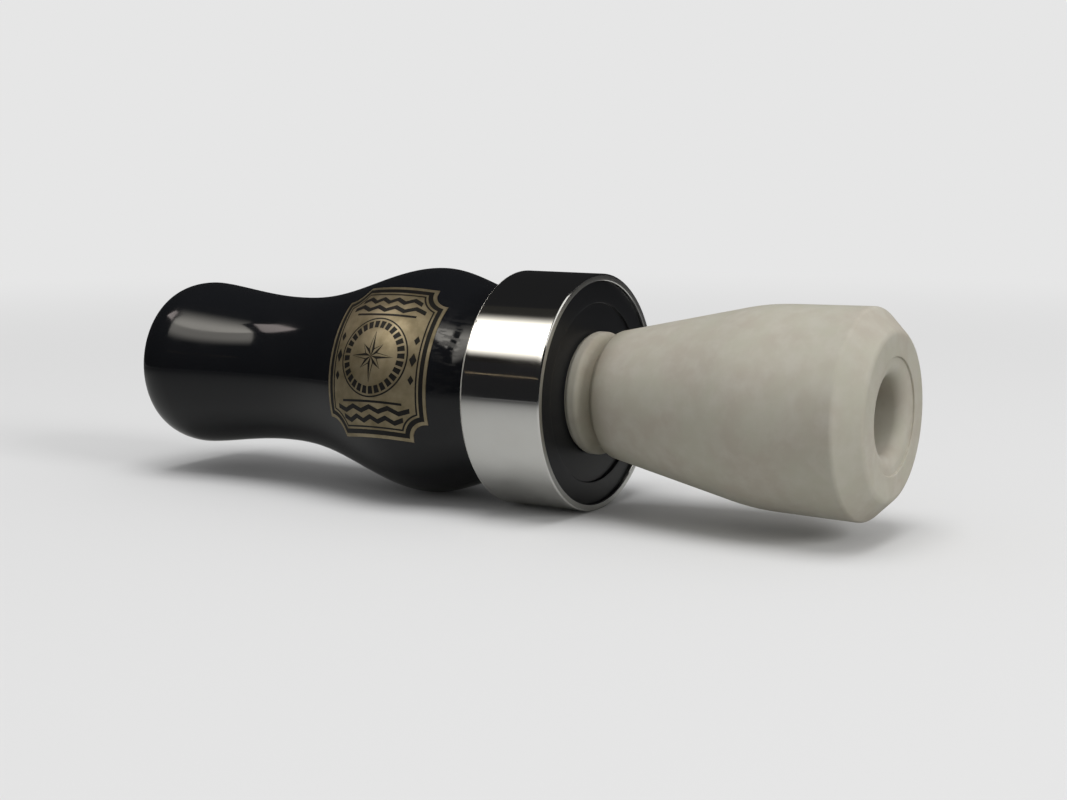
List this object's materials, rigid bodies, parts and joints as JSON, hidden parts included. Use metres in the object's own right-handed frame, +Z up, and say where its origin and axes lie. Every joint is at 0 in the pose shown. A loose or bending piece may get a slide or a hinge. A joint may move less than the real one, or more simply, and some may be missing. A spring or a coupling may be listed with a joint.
{
  "type": "bird call",
  "caption": "Mouth-blown bird call: turned barrel with a metal band, and a pull-out insert with a lanyard groove that holds a tone board, reed and wedge.",
  "frame": {"origin": "under the middle of the call, on the surface that it lies on", "axes": "+X along the axis of the call, from the mouth to the exhaust; +Z up; -Y is the side with the badge"},
  "size_m": [0.114, 0.032, 0.032],
  "materials": {
    "barrel": "polished black acrylic",
    "band": "polished, lightly turned",
    "badge": "aged bronze foil with black print",
    "insert": "satin ivory acrylic",
    "o_ring": "matt black nitrile",
    "gut_tube": "machined acetal",
    "reed": "smooth polyester sheet",
    "wedge": "machined acetal"
  },
  "bodies": {
    "insert": {"insert": "insert"},
    "seals": {"o_ring_front": "o_ring", "o_ring_rear": "o_ring"},
    "barrel": {"barrel": "barrel", "band": "band", "badge": "badge"},
    "gut": {"gut_tube": "gut_tube"},
    "wedge": {"wedge": "wedge"},
    "reed": {"reed": "reed"}
  },
  "joints": [
    {"name": "barrel_twist", "type": "hinge", "parent": "insert", "child": "seals", "pos_m": [0, 0, 0.016], "axis": [-1, 0, 0], "continuous": true},
    {"name": "barrel_pull", "type": "slide", "parent": "seals", "child": "barrel", "axis": [-1, 0, 0], "range_m": [0, 0.046]},
    {"name": "gut_pull", "type": "slide", "parent": "insert", "child": "gut", "axis": [-1, 0, 0], "range_m": [0, 0.0255]},
    {"name": "wedge_slide", "type": "slide", "parent": "gut", "child": "wedge", "axis": [-1, 0, 0], "range_m": [0, 0.009]},
    {"name": "reed_flex", "type": "hinge", "parent": "gut", "child": "reed", "pos_m": [-0.00857, 0, 0.01708], "axis": [0, 1, 0], "range_deg": [-2.5, 2.5], "stiffness_Nm_per_rad": 0.0005, "deforming": ["reed"]}
  ]
}
